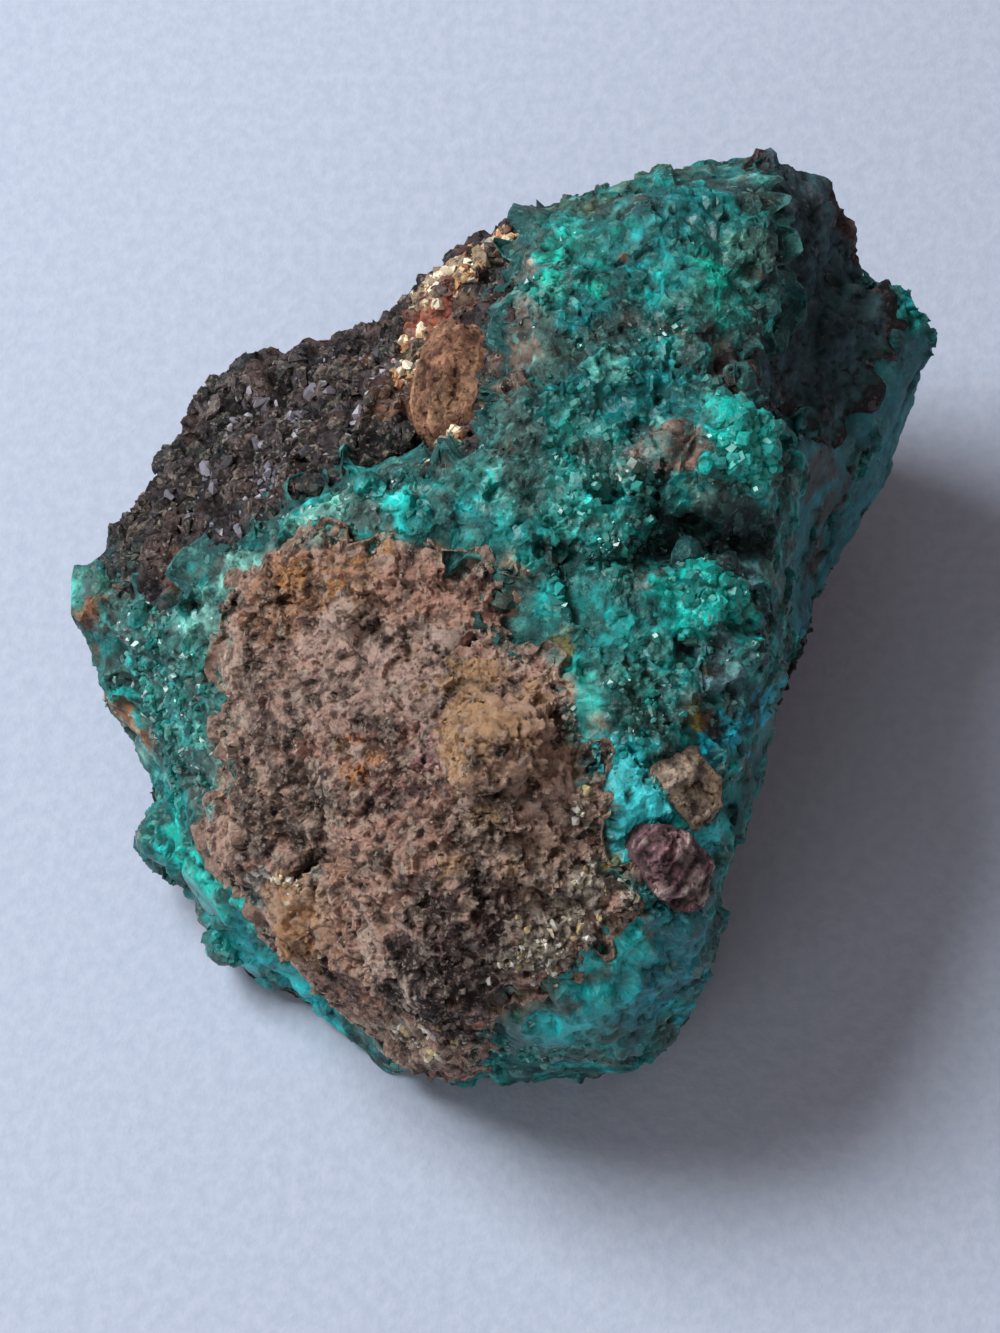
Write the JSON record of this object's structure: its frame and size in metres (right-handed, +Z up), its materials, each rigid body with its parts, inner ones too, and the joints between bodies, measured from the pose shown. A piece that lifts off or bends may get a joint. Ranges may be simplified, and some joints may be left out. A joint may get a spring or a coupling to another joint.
{
  "type": "dioptase specimen",
  "caption": "Fist-sized rough mineral specimen: teal dioptase crust and brown granular rock on dark vuggy host rock, resting on a flat foot.",
  "frame": {"origin": "on the flat foot at the table, under the middle of the lump", "axes": "+Z up; +X to the right and +Y to the back as seen from the side that the broad face leans towards"},
  "size_m": [0.0706, 0.0738, 0.0452],
  "materials": {
    "host_rock": "dark, rough and granular, with pores, lilac-white grains and a rusty rim",
    "dioptase": "vitreous teal crystal crust, glassy in its clusters, greyer where it is massive",
    "brown_rock": "matt, granular, pinkish brown with ochre and purple stains and dark pores",
    "oval_chip": "matt rust brown, finely pitted",
    "tan_chip": "matt tan brown, granular",
    "purple_chip": "dark purplish brown, fine grained, slightly satiny"
  },
  "bodies": {
    "root": {"host_rock": "host_rock", "dioptase_crust": "dioptase", "brown_rock_slab": "brown_rock", "oval_brown_chip": "oval_chip", "tan_chip": "tan_chip", "purple_chip": "purple_chip"}
  },
  "joints": []
}
